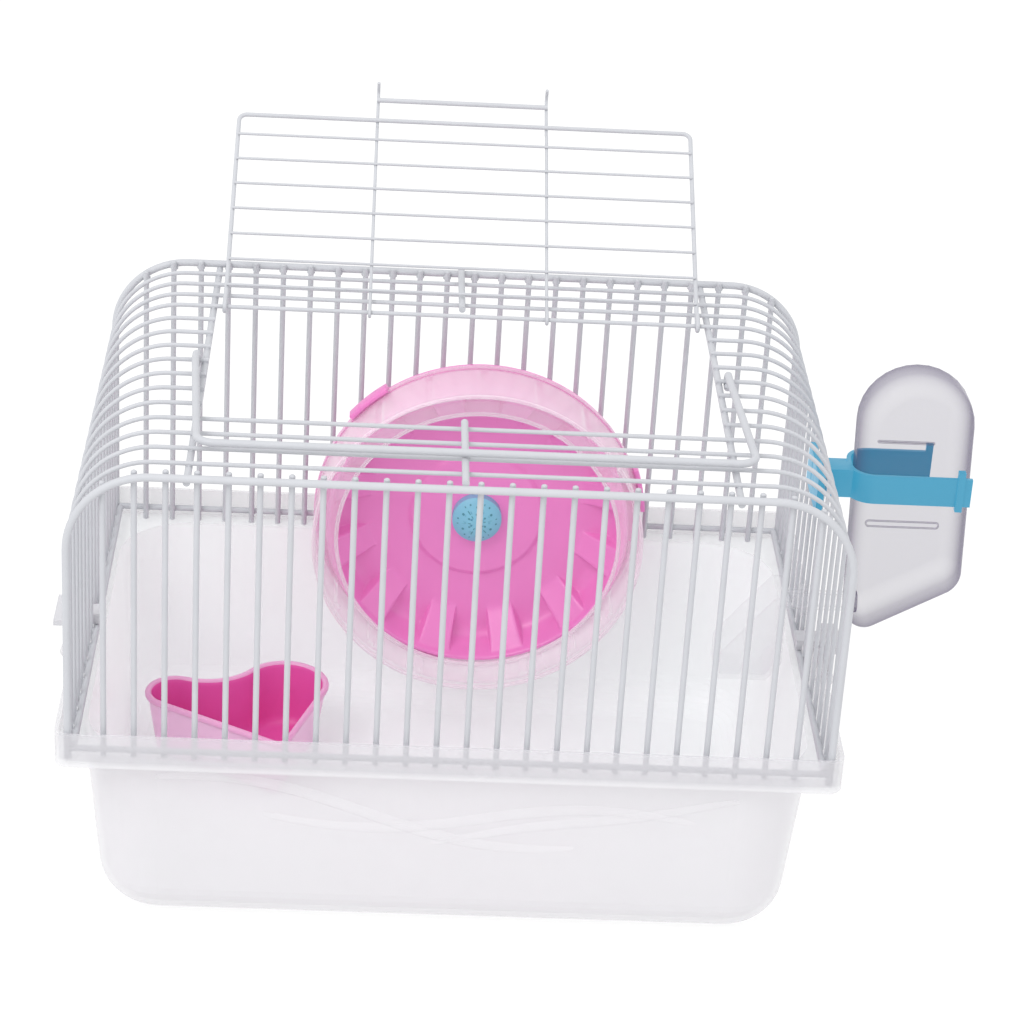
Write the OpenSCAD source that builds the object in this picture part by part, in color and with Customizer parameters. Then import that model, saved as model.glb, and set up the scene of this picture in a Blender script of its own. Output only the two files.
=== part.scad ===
// Small hamster cage: frosted tray, welded wire top with a roof door and a
// carry handle, running wheel on the rear bars, heart-shaped bowl and a
// clip-on water bottle. The origin is the centre of the resting face, +X is
// the bottle side and +Y is the back.

/* [Wire top] */
// Distance between the leg centres of an end frame
cage_w = 253; // [235:1:275]
// Distance between the front and rear end frames
cage_d = 176; // [168:1:190]
// Height of the wire top, from its bottom wire to its roof
wire_h = 101; // [95:1:115]
// Radius of the roof shoulders
shoulder_r = 27; // [22:1:32]
// Centre distance of the upright bars
bar_pitch = 10; // [9.5:0.1:10.2]
// Number of upright bars in an end panel
bar_count = 24; // [22:2:24]
// Depth of the fixed roof strip behind the door
rear_strip = 38.8; // [36:0.2:42]
// Depth of the roof opening under the door
door_len = 92.8; // [88:0.2:98]
// Half the width of the roof opening
opening_half_w = 88.3; // [86:0.1:91]

/* [Wires] */
// Radius of the end frame wire
frame_r = 1.3; // [1.1:0.05:1.4]
// Radius of an upright bar
bar_r = 1.0; // [0.8:0.05:1.1]
// Radius of an arch wire
arch_r = 0.75; // [0.65:0.05:0.9]
// Radius of a bottom wire
rail_r = 1.1; // [0.9:0.05:1.2]
// Radius of the two wires that border the roof opening
border_r = 1.2; // [1.0:0.05:1.3]
// Radius of the short roof stiffeners
stiffener_r = 1.2; // [1.0:0.05:1.2]
// Depth that a welded wire sinks into the next one
weld = 0.1; // [0.05:0.01:0.15]

/* [Door] */
// Angle of the open door above the horizontal
door_open_angle = 28; // [20:1:40]
// Half the width between the side wires of the door
door_half_w = 84.3; // [80:0.1:85]
// Radius of the door frame wire
door_frame_r = 0.8; // [0.7:0.05:1.0]
// Radius of a door cross wire
door_cross_r = 0.5; // [0.45:0.05:0.7]
// Number of door cross wires
door_cross_count = 7; // [6:1:8]
// Radius of a door rib wire
door_rib_r = 0.6; // [0.55:0.05:0.8]
// Distance between the two door rib wires
rib_spacing = 63.2; // [50:0.2:80]
// Reach of a rib wire beyond the door frame
prong_len = 14.5; // [12:0.5:19]

/* [Handle] */
// Radius of the handle wire
handle_r = 1.3; // [1.1:0.05:1.4]
// Length of a handle arm from its pivot to the crossbar
handle_arm = 73.8; // [66:0.2:76]
// Lean of the left handle arm towards the middle
left_arm_lean = 4.1; // [1:0.1:4.5]
// Lean of the right handle arm away from the middle
right_arm_lean = 2.6; // [1:0.1:5]
// Half the distance between the handle's hooks
handle_half_w = 91.3; // [91:0.1:92]

/* [Base tray] */
// Height of the bottom wires above the resting face
rail_z = 74.5; // [68:0.5:82]
// Half the width of the tray body at its top
tray_half_w = 124.3; // [120:0.1:125]
// Half the depth of the tray body at its top
tray_half_d = 85; // [80:0.5:86]
// Plan radius of the tray corners at the top
tray_corner_r = 27; // [24:0.5:30]
// Slope of the tray walls away from vertical
tray_taper = 5.5; // [4:0.1:6]
// Wall thickness of the tray
tray_wall = 1.8; // [1.5:0.1:2.4]
// Radius between the tray walls and its floor
tray_fillet = 16; // [12:0.5:17]
// Height of the rim lip above the ledge
lip_h = 12.2; // [10:0.1:14]

/* [Wheel] */
// Outer radius of the clear running ring
wheel_r = 61.2; // [56:0.2:62]
// Depth of the clear running ring
wheel_depth = 26.8; // [22:0.2:28]
// Height of the wheel axle above the resting face
wheel_z = 86.5; // [80:0.5:92]
// Sideways place of the wheel axle, in a gap between two bars
wheel_x = 10; // [10:10:10]
// Gap between the wheel's back flange and its bracket boss
wheel_gap = 0.5; // [0.3:0.1:0.8]
// Radius of the axle shank
axle_r = 2.5; // [2:0.1:3]
// Number of ribs in the running ring
ring_ribs = 18; // [12:1:24]
// Number of treads in the wheel dish
dish_treads = 12; // [8:1:16]

/* [Bottle] */
// Sideways place of the bottle's middle
bottle_x = 156.5; // [156:0.5:160]
// Place of the bottle's middle from front to back
bottle_y = -3.6; // [-3.8:0.1:-3.2]
// Width of the bottle
bottle_w = 40; // [38:0.5:42]
// Thickness of the bottle from front to back
bottle_t = 19; // [18:0.5:21]
// Height of the top of the bottle
bottle_top = 186; // [184:1:192]
// Height of the lower edge of the clip band
clip_z = 139.5; // [137:0.5:143]
// Height of the clip band
clip_h = 10.5; // [9:0.5:12]

/* [Bowl] */
// Height of the bowl
bowl_h = 26; // [20:1:30]
// Radius of the heart's large lobe
bowl_lobe_r = 16.5; // [14:0.5:18]
// Radius of the heart's small lobe
bowl_ear_r = 11.3; // [9:0.1:12]
// Radius of the heart's tip
bowl_tip_r = 4.5; // [4:0.5:6]
// Radius of the hollow between the lobes
bowl_notch_r = 20; // [12:1:30]

/* [Hidden] */
$fn = 48;
wire_fn = 20;

white = [0.86, 0.87, 0.89];
frosted = [0.93, 0.93, 0.95, 0.6];
clear = [0.9, 0.92, 0.95, 0.35];
pink = [0.9, 0.25, 0.62];
blue = [0.3, 0.68, 0.86];
steel = [0.7, 0.7, 0.72];

half_w = cage_w / 2;
half_d = cage_d / 2;
roof_z = rail_z + wire_h;
foot_z = rail_z - 3.6;
leg_h = roof_z - shoulder_r - foot_z;
roof_flat = cage_w - 2 * shoulder_r;

// Places of the arch wires from the rear frame (0) to the front frame (16)
door_steps = 8;
strip_steps = 4;
front_strip = cage_d - rear_strip - door_len;
hinge_y = half_d - rear_strip;
opening_front_y = hinge_y - door_len;
function arch_y(i) =
    i <= strip_steps ? half_d - rear_strip * i / strip_steps :
    i <= strip_steps + door_steps ?
        hinge_y - door_len * (i - strip_steps) / door_steps :
    opening_front_y - front_strip * (i - strip_steps - door_steps) / strip_steps;
rear_arches = [1:strip_steps];
opening_arches = [strip_steps + 1:strip_steps + door_steps - 1];
front_arches = [strip_steps + door_steps:2 * strip_steps + door_steps - 1];
pivot_y = arch_y(strip_steps + door_steps / 2);

// Drop of the frame wire below the roof at a place x
function shoulder_drop(x) =
    let (over = max(0, abs(x) - roof_flat / 2))
    shoulder_r - sqrt(shoulder_r * shoulder_r - over * over);

// ---------------------------------------------------------------- wires

// A bend that starts along +Z at the origin and turns towards +X
module bend(angle, bend_r, wire_r) {
    translate([bend_r, 0, 0])
        mirror([1, 0, 0])
            rotate([90, 0, 0])
                rotate_extrude(angle = angle, $fn = 72)
                    translate([bend_r, 0])
                        circle(r = wire_r, $fn = wire_fn);
}

// A bent wire: each step is [straight length, bend angle, bend radius, roll].
// A bend that isn't square ends in a ball, a hair wider than the wire, which
// joins it to the next straight
module wire(steps, wire_r, i = 0, lead_in = 0) {
    joint_gap = 0.03;
    if (i < len(steps)) {
        step = steps[i];
        square_turn = step[1] == 90 || step[1] == 0;
        last = i == len(steps) - 1;
        rotate([0, 0, step[3]]) {
            if (lead_in > 0)
                sphere(r = wire_r * 1.03, $fn = 32);
            if (step[0] > 0)
                translate([0, 0, lead_in])
                    cylinder(h = step[0] - lead_in, r = wire_r, $fn = wire_fn);
            translate([0, 0, step[0]]) {
                if (step[1] > 0)
                    bend(step[1], step[2], wire_r);
                if (!last)
                    translate([step[2] * (1 - cos(step[1])), 0, step[2] * sin(step[1])])
                        rotate([0, step[1], 0])
                            wire(steps, wire_r, i + 1, square_turn ? 0 : joint_gap);
            }
        }
    }
}

// A straight wire from a point along one axis
module rod(start, turn, length, wire_r) {
    translate(start)
        rotate(turn)
            cylinder(h = length, r = wire_r, $fn = wire_fn);
}

along_x = [0, 90, 0];
along_y = [-90, 0, 0];

// A full arch, from one foot over the roof to the other
module arch(y, wire_r) {
    translate([-half_w, y, foot_z])
        wire([
            [leg_h, 90, shoulder_r, 0],
            [roof_flat, 90, shoulder_r, 0],
            [leg_h, 0, 0, 0]
        ], wire_r);
}

// A side arch, from the left foot to the border wire of the opening
module side_arch(y) {
    stub = roof_flat / 2 - opening_half_w + border_r;
    translate([-half_w, y, foot_z])
        wire([[leg_h, 90, shoulder_r, 0], [stub, 0, 0, 0]], arch_r);
}

module front_frame_wire() {
    color(white) arch(-half_d, frame_r);
}

module rear_frame_wire() {
    color(white) arch(half_d, frame_r);
}

// Upright bars stand just inside an end frame; their tips pass the roof wire
module bars(y) {
    tip = 1.3;
    for (i = [0:bar_count - 1]) {
        x = (i - (bar_count - 1) / 2) * bar_pitch;
        rod([x, y, foot_z], [0, 0, 0], roof_z - shoulder_drop(x) + tip - foot_z, bar_r);
    }
}

bar_y = half_d - frame_r - bar_r + weld;

module front_bars() {
    color(white) bars(-bar_y);
}

module rear_bars() {
    color(white) bars(bar_y);
}

// End bottom wires lie against the outer side of the upright bars
rail_y = bar_y + bar_r + rail_r - weld;

module end_rail(y) {
    reach = half_w - frame_r + weld;
    rod([-reach, y, rail_z], along_x, 2 * reach, rail_r);
}

module front_bottom_wire() {
    color(white) end_rail(-rail_y);
}

module rear_bottom_wire() {
    color(white) end_rail(rail_y);
}

module left_bottom_wire() {
    x = half_w - arch_r - rail_r + weld;
    reach = rail_y - rail_r + weld;
    color(white) rod([-x, -reach, rail_z], along_y, 2 * reach, rail_r);
}

module right_bottom_wire() {
    mirror([1, 0, 0]) left_bottom_wire();
}

module front_arch_wires() {
    color(white)
        for (i = front_arches) arch(arch_y(i), arch_r);
}

module rear_arch_wires() {
    color(white)
        for (i = rear_arches) arch(arch_y(i), arch_r);
}

module left_side_wires() {
    color(white)
        for (i = opening_arches) side_arch(arch_y(i));
}

module right_side_wires() {
    mirror([1, 0, 0]) left_side_wires();
}

border_drop = arch_r + border_r - weld;

module left_border_wire() {
    reach = half_d - frame_r / 2;
    color(white)
        rod([-opening_half_w, -reach, roof_z - border_drop], along_y, 2 * reach, border_r);
}

module right_border_wire() {
    mirror([1, 0, 0]) left_border_wire();
}

stiffener_rise = arch_r + stiffener_r - weld;
stiffener_tail = 1.5;

module front_stiffener() {
    start = -half_d + frame_r / 2;
    color(white)
        rod([0, start, roof_z + stiffener_rise], along_y,
            opening_front_y + stiffener_tail - start, stiffener_r);
}

module rear_stiffener() {
    start = hinge_y + arch_r + 1;
    color(white)
        rod([0, start, roof_z + stiffener_rise], along_y,
            half_d - frame_r / 2 - start, stiffener_r);
}

// ----------------------------------------------------------------- door

hinge_gap = 0.06;
frame_wrap_r = arch_r + hinge_gap + door_frame_r;
rib_wrap_r = arch_r + hinge_gap + door_rib_r;
door_bend_r = 3;
cross_n = -(frame_wrap_r - door_frame_r - door_cross_r + weld);
rib_x = [-rib_spacing / 2 - 1.3, rib_spacing / 2 - 1.3];
wrap_angle = 195;
hook_tail = 5;

// The door is drawn lying back from its hinge along +Y, its outside down
module door_place() {
    translate([0, hinge_y, roof_z])
        rotate([door_open_angle, 0, 0])
            children();
}

// Half of the bent frame: from the middle of its end, round the corner, down
// to the hinge, round the hinge wire and back a little
module door_frame_half() {
    overlap = 0.5;
    translate([overlap, door_len, -frame_wrap_r])
        rotate([0, -90, 0])
            wire([
                [door_half_w - door_bend_r + overlap, 90, door_bend_r, -90],
                [door_len - door_bend_r, wrap_angle, frame_wrap_r, 90],
                [hook_tail, 0, 0, 0]
            ], door_frame_r);
}

module door_frame_wire() {
    color(white) door_place() {
        door_frame_half();
        mirror([1, 0, 0]) door_frame_half();
    }
}

module door_cross_wires() {
    first = 10.5;
    last = door_len - 10.6;
    color(white) door_place()
        for (i = [0:door_cross_count - 1]) {
            s = first + (last - first) * i / (door_cross_count - 1);
            rod([-door_half_w, s, cross_n], along_x, 2 * door_half_w, door_cross_r);
        }
}

rib_end_n = -(frame_wrap_r + door_frame_r + door_rib_r - weld);

// Each rib starts at its prong's turned-in tip, steps past the end of the
// door frame and ends in a hook round the hinge wire
module door_rib_wires() {
    step_angle = 30;
    step_bend = 2;
    step_drop = -rib_end_n - rib_wrap_r;
    slant = (step_drop - 2 * step_bend * (1 - cos(step_angle))) / sin(step_angle);
    step_run = 2 * step_bend * sin(step_angle) + slant * cos(step_angle);
    tip_bend = 2;
    tip_len = 4;
    tail = prong_len + 2 - tip_bend;
    color(white) door_place()
        for (x = rib_x)
            translate([x, door_len + prong_len, rib_end_n + tip_bend + tip_len])
                rotate([180, 0, 0])
                    wire([
                        [tip_len, 90, tip_bend, 90],
                        [tail, step_angle, step_bend, 0],
                        [slant, step_angle, step_bend, 180],
                        [door_len - 2 - step_run, wrap_angle, rib_wrap_r, 180],
                        [hook_tail, 0, 0, 0]
                    ], door_rib_r);
}

module door_grip_bar() {
    grip_r = 0.9;
    side_room = 0.4;
    n = rib_end_n + door_rib_r + grip_r - weld;
    color(white) door_place()
        rod([rib_x[0] - side_room, door_len + prong_len - 4.5, n], along_x,
            rib_spacing + 2 * side_room, grip_r);
}

// --------------------------------------------------------------- handle

handle_wrap_r = arch_r + hinge_gap + handle_r;
handle_rise = 4.7;
handle_bend_r = 6;
arm_bend_r = 30;
hook_lead = 4;

// Half of the bail: from the middle of its crossbar, round the corner, along
// an arm that leans out or in, then straight into its end hook
module handle_half(lean) {
    overlap = 0.5;
    tilt = asin((handle_rise - handle_wrap_r) / handle_arm);
    run = handle_arm - hook_lead;
    corner = handle_half_w + run * tan(lean);
    corner_cut = handle_bend_r * tan((90 + lean) / 2);
    kink_cut = arm_bend_r * tan(abs(lean) / 2);
    rotate([90 - tilt, 0, 0])
        translate([overlap, handle_wrap_r, handle_arm])
            rotate([0, -90, 0])
                wire([
                    [corner - corner_cut + overlap, 90 + lean, handle_bend_r, 180],
                    [run / cos(lean) - corner_cut - kink_cut, abs(lean), arm_bend_r,
                     lean > 0 ? 180 : 0],
                    [hook_lead - kink_cut, 250, handle_wrap_r, lean > 0 ? -90 : 90]
                ], handle_r);
}

// A swinging bail that lies forward on the roof, hooked on two arch wires and
// bent a little to the bottle side
module carry_handle() {
    color(white) translate([0, pivot_y, roof_z]) {
        handle_half(-left_arm_lean);
        mirror([1, 0, 0]) handle_half(right_arm_lean);
    }
}

// ------------------------------------------------------------ base tray

ledge_t = 1.6;
ledge_z = foot_z - 0.3 - ledge_t;
rim_half_w = half_w + 4.5;
rim_half_d = half_d + 3.3;
rim_corner_r = 5;
lip_t = 1.4;
latch_y = (arch_y(8) + arch_y(9)) / 2;
notch_half = 11;
latch_pivot_x = rim_half_w + 3.2;
latch_pivot_z = ledge_z + 0.4;
latch_pin_r = 1.2;
pin_gap = 0.05;

module rounded_plate(half_x, half_y, corner) {
    square([2 * half_x - 2 * corner, 2 * half_y], center = true);
    square([2 * half_x, 2 * half_y - 2 * corner], center = true);
    for (x = [-1, 1])
        for (y = [-1, 1])
            translate([x * (half_x - corner), y * (half_y - corner)])
                circle(r = corner);
}

// Outline of one wall, from the corner's axis outwards, lowered by a wall
function wall_line(inset) =
    let (
        r_out = tray_fillet - inset,
        foot = tray_corner_r - ledge_z * tan(tray_taper) - inset,
        turn = 90 - tray_taper,
        steps = 8
    )
    [for (i = [0:steps])
        let (a = turn * i / steps)
        [foot - r_out * tan(turn / 2) + r_out * sin(a),
         inset + r_out * (1 - cos(a))]];

wall_profile = concat(
    [[0, 0]],
    wall_line(0),
    [[tray_corner_r, ledge_z + ledge_t], [tray_corner_r - tray_wall, ledge_z + ledge_t]],
    [for (i = [8:-1:0]) wall_line(tray_wall)[i]],
    [[0, tray_wall]]
);

// One corner and the two half walls beside it
module tray_quarter() {
    corner_x = tray_half_w - tray_corner_r;
    corner_y = tray_half_d - tray_corner_r;
    translate([corner_x, corner_y, 0])
        rotate_extrude(angle = 90, $fn = 72)
            polygon(wall_profile);
    translate([corner_x, corner_y, 0])
        rotate([90, 0, 0])
            linear_extrude(corner_y)
                polygon(wall_profile);
    translate([0, corner_y, 0])
        rotate([90, 0, 90])
            linear_extrude(corner_x)
                polygon(wall_profile);
    cube([corner_x, corner_y, tray_wall]);
}

module latch_ears(side) {
    ear_t = 2.5;
    for (y = [latch_y - 10.3 - ear_t, latch_y + 10.3])
        translate([0, y, latch_pivot_z])
            rotate(along_y)
                difference() {
                    union() {
                        translate([side * latch_pivot_x, 0, 0])
                            cylinder(h = ear_t, r = 2.6);
                        translate([side * (latch_pivot_x - 1.6) - 2, -2.6, 0])
                            cube([4, 5.2, ear_t]);
                    }
                    translate([side * latch_pivot_x, 0, -1])
                        cylinder(h = ear_t + 2, r = latch_pin_r + pin_gap);
                }
}

module base_tray() {
    color(frosted) {
        for (x = [0, 1])
            for (y = [0, 1])
                mirror([x, 0, 0]) mirror([0, y, 0]) tray_quarter();
        translate([0, 0, ledge_z])
            linear_extrude(ledge_t)
                difference() {
                    rounded_plate(rim_half_w, rim_half_d, rim_corner_r);
                    rounded_plate(tray_half_w - 0.4, tray_half_d - 0.4, tray_corner_r - 0.4);
                }
        difference() {
            translate([0, 0, ledge_z + ledge_t])
                linear_extrude(lip_h - ledge_t)
                    difference() {
                        rounded_plate(rim_half_w, rim_half_d, rim_corner_r);
                        rounded_plate(rim_half_w - lip_t, rim_half_d - lip_t,
                                      rim_corner_r - lip_t);
                    }
            translate([-rim_half_w - 5, latch_y - notch_half, ledge_z + 4])
                cube([2 * rim_half_w + 10, 2 * notch_half, lip_h]);
        }
        for (side = [-1, 1]) latch_ears(side);
    }
}

// A snap latch: its tongue reaches between two arch wires over the rail
module latch() {
    plate_half = 9.5;
    pin_half = plate_half + 3;
    plate_x = rim_half_w + 2.2;
    plate_top = rail_z + 5.4;
    tongue_z = rail_z + rail_r + 0.4;
    tongue_x = half_w - arch_r - 2 * rail_r;
    tongue_half = 3.8;
    color(frosted) {
        rod([latch_pivot_x, latch_y - pin_half, latch_pivot_z], along_y,
            2 * pin_half, latch_pin_r);
        rod([latch_pivot_x, latch_y - plate_half, latch_pivot_z], along_y,
            2 * plate_half, 2.2);
        translate([plate_x, latch_y - plate_half, latch_pivot_z])
            cube([2, 2 * plate_half, plate_top - latch_pivot_z]);
        translate([plate_x, latch_y - plate_half, plate_top - 2])
            cube([6.2, 2 * plate_half, 2]);
        translate([tongue_x, latch_y - tongue_half, tongue_z + 2])
            cube([plate_x + 1 - tongue_x, 2 * tongue_half, 1.8]);
        translate([tongue_x, latch_y - tongue_half, tongue_z])
            cube([2.2, 2 * tongue_half, 2.5]);
    }
}

module right_latch() {
    latch();
}

module left_latch() {
    mirror([1, 0, 0]) latch();
}

// ----------------------------------------------------------------- bowl

bowl_lobe = [-59.3, 39.8];
bowl_ear = [-99.5, 30.8];
bowl_tip = [-60, 0];
bowl_wall = 1.6;
bowl_lip = 2.2;

// Each step of the rounded foot: [height, inset from the lip]
foot_steps = [[0, 7], [1.5, 3.2], [3.5, 1]];

// Direction of the outer tangent of two circles, on the left of a to b
function tangent_turn(a, a_r, b, b_r) =
    atan2(b[1] - a[1], b[0] - a[0]) + acos((a_r - b_r) / norm(b - a));

// Centre of the circle that touches two others from the left of a to b
function touching(a, a_r, b, b_r, r) =
    let (
        d = b - a,
        u = d / norm(d),
        along = (pow(a_r + r, 2) - pow(b_r + r, 2) + d * d) / (2 * norm(d)),
        up = sqrt(pow(a_r + r, 2) - along * along)
    )
    a + along * u + up * [-u[1], u[0]];

// Points of an arc in steps of about 6 degrees, without its first skip points
// and its last skip points
function arc_points(c, r, from, to, skip = 0) =
    let (n = ceil(abs(to - from) / 6))
    [for (i = [skip:n - skip])
        let (a = from + (to - from) * i / n)
        c + r * [cos(a), sin(a)]];

notch_c = touching(bowl_ear, bowl_ear_r, bowl_lobe, bowl_lobe_r, bowl_notch_r);
notch_to_lobe = atan2(bowl_lobe[1] - notch_c[1], bowl_lobe[0] - notch_c[0]);
notch_to_ear = atan2(bowl_ear[1] - notch_c[1], bowl_ear[0] - notch_c[0]);

// The lopsided heart outline, shrunk by an inset and by a wall
module heart(inset, wall) {
    lobe_r = bowl_lobe_r - inset - wall;
    ear_r = bowl_ear_r - inset - wall;
    tip_r = max(2.6, bowl_tip_r - inset) - wall;
    right = tangent_turn(bowl_lobe, lobe_r, bowl_tip, tip_r);
    left = tangent_turn(bowl_tip, tip_r, bowl_ear, ear_r);
    polygon(concat(
        arc_points(bowl_lobe, lobe_r, right, notch_to_lobe + 180),
        arc_points(notch_c, bowl_notch_r + inset + wall, notch_to_lobe, notch_to_ear, 1),
        arc_points(bowl_ear, ear_r, notch_to_ear + 180, left),
        arc_points(bowl_tip, tip_r, left, right + 360)
    ));
}

module food_bowl() {
    color(pink)
        translate([0, 0, tray_wall + 0.1])
            difference() {
                union() {
                    for (s = foot_steps)
                        translate([0, 0, s[0]])
                            linear_extrude(bowl_h - s[0]) heart(s[1], 0);
                    translate([0, 0, bowl_h - bowl_lip])
                        linear_extrude(bowl_lip) heart(0, 0);
                }
                for (s = foot_steps)
                    translate([0, 0, s[0] + bowl_wall])
                        linear_extrude(bowl_h) heart(s[1], bowl_wall);
            }
}

// ---------------------------------------------------------------- wheel

flange_t = 1.8;
wheel_back_y = bar_y - bar_r - 13.6;
wheel_front_y = wheel_back_y - flange_t - wheel_depth;
hub_r = 8;
hub_front = wheel_depth - 3;
dish_front = 13.6;
dish_r = 56.2;
flange_r = 61;
tab_angles = [-13, -133, -253];

// Wheel parts are drawn along +Z from the front edge, then laid along +Y
module wheel_place() {
    translate([wheel_x, wheel_front_y, wheel_z])
        rotate(along_y)
            children();
}

// Clear running ring: a drum with a shallow funnel lip and inside ribs
module wheel_ring() {
    wall = 1.5;
    lip_r = 51.5;
    rib_w = 3;
    rib_h = 1.3;
    rib_from = 4.5;
    color(clear) wheel_place() {
        rotate_extrude($fn = 144)
            polygon([
                [wheel_r - 1, 0], [wheel_r - 3, 0.4], [lip_r, 3.4], [lip_r, 4.8],
                [wheel_r - 3, 1.9], [wheel_r - wall - 0.3, 2.6],
                [wheel_r - wall - 0.3, wheel_depth], [wheel_r, wheel_depth],
                [wheel_r, wheel_depth - 3], [wheel_r - 0.6, wheel_depth - 3.4],
                [wheel_r - 0.6, 2], [wheel_r - 0.3, 0.6]
            ]);
        for (i = [0:ring_ribs - 1])
            rotate([0, 0, (i + 0.5) * 360 / ring_ribs])
                translate([wheel_r - wall - 0.4 - rib_h, -rib_w / 2, rib_from])
                    cube([rib_h + 0.2, rib_w, wheel_depth - rib_from - 1]);
    }
}

// Pink dish: closed back, low wall inside the ring, treads and three tabs
module wheel_dish() {
    tread_w = 11;
    tab_half = 8;
    back = wheel_depth + flange_t;
    tab_r = wheel_r + 0.15;
    tab_t = 1.6;
    color(pink) wheel_place()
        difference() {
            union() {
                rotate_extrude($fn = 144)
                    polygon([
                        [0, wheel_depth + 0.1], [hub_r, wheel_depth + 0.1],
                        [hub_r + 1, wheel_depth - 1.4], [24, wheel_depth - 1.4],
                        [25.5, wheel_depth + 0.1], [49, wheel_depth + 0.1],
                        [52.4, wheel_depth - 2.6], [dish_r - 1.5, dish_front],
                        [dish_r, dish_front], [dish_r - 1, wheel_depth + 0.1],
                        [flange_r, wheel_depth + 0.1], [flange_r, back], [0, back]
                    ]);
                translate([0, 0, hub_front])
                    cylinder(h = back - hub_front, r = hub_r);
                for (i = [0:dish_treads - 1])
                    rotate([0, 0, (i + 0.5) * 360 / dish_treads])
                        rotate([90, 0, 0])
                            translate([0, 0, -tread_w / 2])
                                linear_extrude(tread_w)
                                    polygon([
                                        [dish_r - 1.2, dish_front + 1.5],
                                        [dish_r - 1.4, wheel_depth + 0.5],
                                        [40, wheel_depth + 0.5]
                                    ]);
                for (a = tab_angles)
                    rotate([0, 0, a - tab_half])
                        rotate_extrude(angle = 2 * tab_half, $fn = 144)
                            polygon([
                                [flange_r - 1, wheel_depth + 0.1],
                                [tab_r, wheel_depth + 0.1],
                                [tab_r, wheel_depth - 4],
                                [tab_r + tab_t, wheel_depth - 4],
                                [tab_r + tab_t, back - 0.5], [tab_r + 1, back],
                                [flange_r - 1, back]
                            ]);
            }
            translate([0, 0, hub_front - 1])
                cylinder(h = back - hub_front + 2, r = axle_r + pin_gap);
        }
}

// Blue domed cap with a generic pattern of dots and short slots
module hub_cap() {
    cap_r = 9.2;
    cap_wall = 0.9;
    dome_r = 16;
    dome_top = hub_front - 5;
    dome_c = dome_top + dome_r;
    skirt_end = wheel_depth - 1.5;
    grip = 0.05;
    color(blue) wheel_place()
        difference() {
            intersection() {
                translate([0, 0, dome_c]) sphere(r = dome_r, $fn = 96);
                translate([0, 0, dome_top]) cylinder(h = skirt_end - dome_top, r = cap_r);
            }
            intersection() {
                translate([0, 0, dome_c]) sphere(r = dome_r - cap_wall, $fn = 96);
                translate([0, 0, dome_top]) cylinder(h = 20, r = hub_r - grip);
            }
            for (i = [0:5])
                rotate([0, 0, i * 60]) {
                    translate([4.2, -0.2, dome_top - 0.6])
                        cube([3.6, 0.4, 1.5]);
                    rotate([0, 0, 30])
                        for (r = [2.4, 5.2])
                            translate([r, 0, dome_top - 0.5])
                                cylinder(h = 1.0 + 0.09 * r, r = 0.4, $fn = 16);
                }
        }
}

// Two plates grip a pair of rear bars and carry the axle
plate_r = 10.2;
clamp_gap = 0.15;

module bar_grooves() {
    for (x = [wheel_x - bar_pitch / 2, wheel_x + bar_pitch / 2])
        rod([x, bar_y, wheel_z - 20], [0, 0, 0], 40, bar_r + pin_gap);
}

module wheel_bracket() {
    plate_front = bar_y - 3.6;
    boss_front = wheel_back_y + wheel_gap;
    color(pink)
        difference() {
            union() {
                rod_plate(plate_front, bar_y - clamp_gap, plate_r);
                rod_plate(boss_front, plate_front + 1, 7);
            }
            bar_grooves();
            rod_plate(boss_front - 1, bar_y + 1, axle_r + pin_gap);
        }
}

// A round plate on the wheel's axis between two places along Y
module rod_plate(y_from, y_to, r) {
    translate([wheel_x, y_from, wheel_z])
        rotate(along_y)
            cylinder(h = y_to - y_from, r = r);
}

clamp_back = bar_y + 3.4;

module bracket_clamp() {
    color(pink)
        difference() {
            rod_plate(bar_y + clamp_gap, clamp_back, plate_r);
            bar_grooves();
            rod_plate(bar_y - 1, clamp_back + 1, axle_r + pin_gap);
        }
}

module wheel_axle() {
    head_back = wheel_front_y + hub_front - 0.3;
    color(steel)
        difference() {
            union() {
                rod_plate(head_back - 2.4, head_back, 4.5);
                rod_plate(head_back - 0.1, clamp_back + 5, axle_r);
            }
            translate([wheel_x, head_back - 2.4, wheel_z])
                cube([6, 1.6, 1], center = true);
        }
}

module axle_nut() {
    color(steel)
        difference() {
            translate([wheel_x, clamp_back + 0.05, wheel_z])
                rotate(along_y)
                    cylinder(h = 3.6, r = 4.6, $fn = 6);
            rod_plate(clamp_back - 1, clamp_back + 6, axle_r + pin_gap);
        }
}

// --------------------------------------------------------------- bottle

bottle_wall = 1.2;
dome_z = bottle_top - bottle_w / 2;
arm_t = 1.5;
arm_gap = 0.3;
tube_r = 3.6;
tube_z = 94.5;
tube_y = latch_y;
tube_gap = 0.3;

// Rounded body of the bottle, shrunk by a wall: a dome over two sides that
// lean a little and a slanting bottom
module bottle_body(inset) {
    edge = 7;
    heel = 9;
    ball = edge - inset;
    mid = bottle_w / 2 - edge;
    deep = bottle_t / 2 - edge;
    heel_deep = bottle_t / 2 - heel;
    hull() {
        for (y = [-deep, deep]) {
            for (a = [0:30:180])
                translate([bottle_x + mid * cos(a), bottle_y + y, dome_z + mid * sin(a)])
                    sphere(r = ball, $fn = 28);
            translate([bottle_x - mid + 2.5, bottle_y + y, 94])
                sphere(r = ball, $fn = 28);
        }
        for (y = [-heel_deep, heel_deep])
            translate([bottle_x + bottle_w / 2 + 2.2 - heel, bottle_y + y, 110])
                sphere(r = heel - inset, $fn = 28);
    }
}

// A low raised bar with round ends on the bottle's front face
module bottle_mark(x, z, length, height) {
    translate([bottle_x + x, bottle_y - bottle_t / 2 - 0.25, z])
        rotate(along_y)
            linear_extrude(0.8) {
                square([length - height, height], center = true);
                for (side = [-1, 1])
                    translate([side * (length - height) / 2, 0])
                        circle(r = height / 2);
            }
}

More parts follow.
